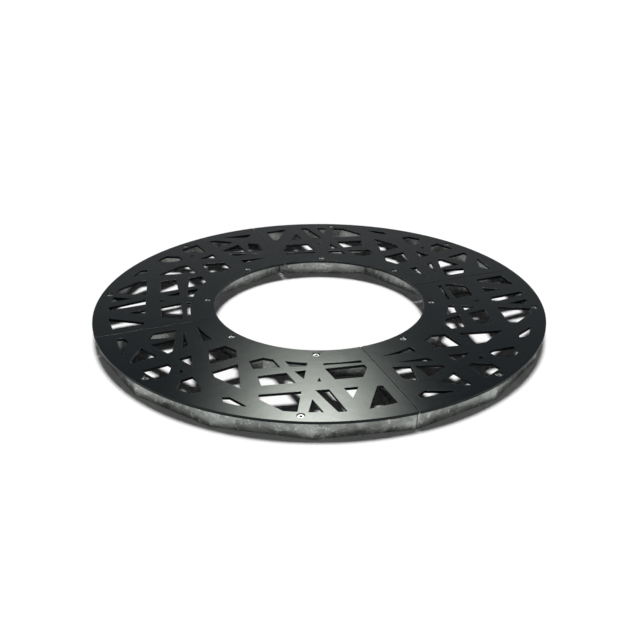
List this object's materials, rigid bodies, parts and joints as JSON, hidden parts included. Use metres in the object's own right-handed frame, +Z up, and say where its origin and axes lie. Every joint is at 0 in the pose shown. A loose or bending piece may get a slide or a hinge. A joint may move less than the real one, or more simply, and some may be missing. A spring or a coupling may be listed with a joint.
{
  "type": "tree grate",
  "caption": "Round tree grate with a central tree opening: laser-cut cover plates in a crossed-bar pattern, screwed to a bolted polygonal frame of flat bars.",
  "frame": {"origin": "centre of the tree opening, on the ground that the frame stands on", "axes": "+Z up out of the ground; +X and +Y each lie along a seam between two segments, with +X the seam between the front right and back right segments"},
  "size_m": [1.7, 1.7, 0.074],
  "materials": {
    "cover_plate": "dark blue-black powder coat, satin, with a fine texture",
    "galvanised_frame": "hot-dip galvanised steel with a dull grey spangle",
    "stainless_screw": "plain stainless steel, turned face",
    "zinc_fastener": "bright zinc-plated steel"
  },
  "bodies": {
    "root": {"cover_plate_front_left": "cover_plate", "cover_plate_front_right": "cover_plate", "cover_plate_back_right": "cover_plate", "cover_plate_back_left": "cover_plate", "outer_band_front_left": "galvanised_frame", "outer_band_front_right": "galvanised_frame", "outer_band_back_right": "galvanised_frame", "outer_band_back_left": "galvanised_frame", "inner_band_front_left": "galvanised_frame", "inner_band_front_right": "galvanised_frame", "inner_band_back_right": "galvanised_frame", "inner_band_back_left": "galvanised_frame", "end_plate_front_left_first": "galvanised_frame", "end_plate_front_left_last": "galvanised_frame", "end_plate_front_right_first": "galvanised_frame", "end_plate_front_right_last": "galvanised_frame", "end_plate_back_right_first": "galvanised_frame", "end_plate_back_right_last": "galvanised_frame", "end_plate_back_left_first": "galvanised_frame", "end_plate_back_left_last": "galvanised_frame", "outer_screw_lugs": "galvanised_frame", "inner_screw_lugs": "galvanised_frame", "outer_cover_screws": "stainless_screw", "inner_cover_screws": "stainless_screw", "seam_bolts": "zinc_fastener", "seam_nuts": "zinc_fastener", "seam_washers": "zinc_fastener"}
  },
  "joints": []
}
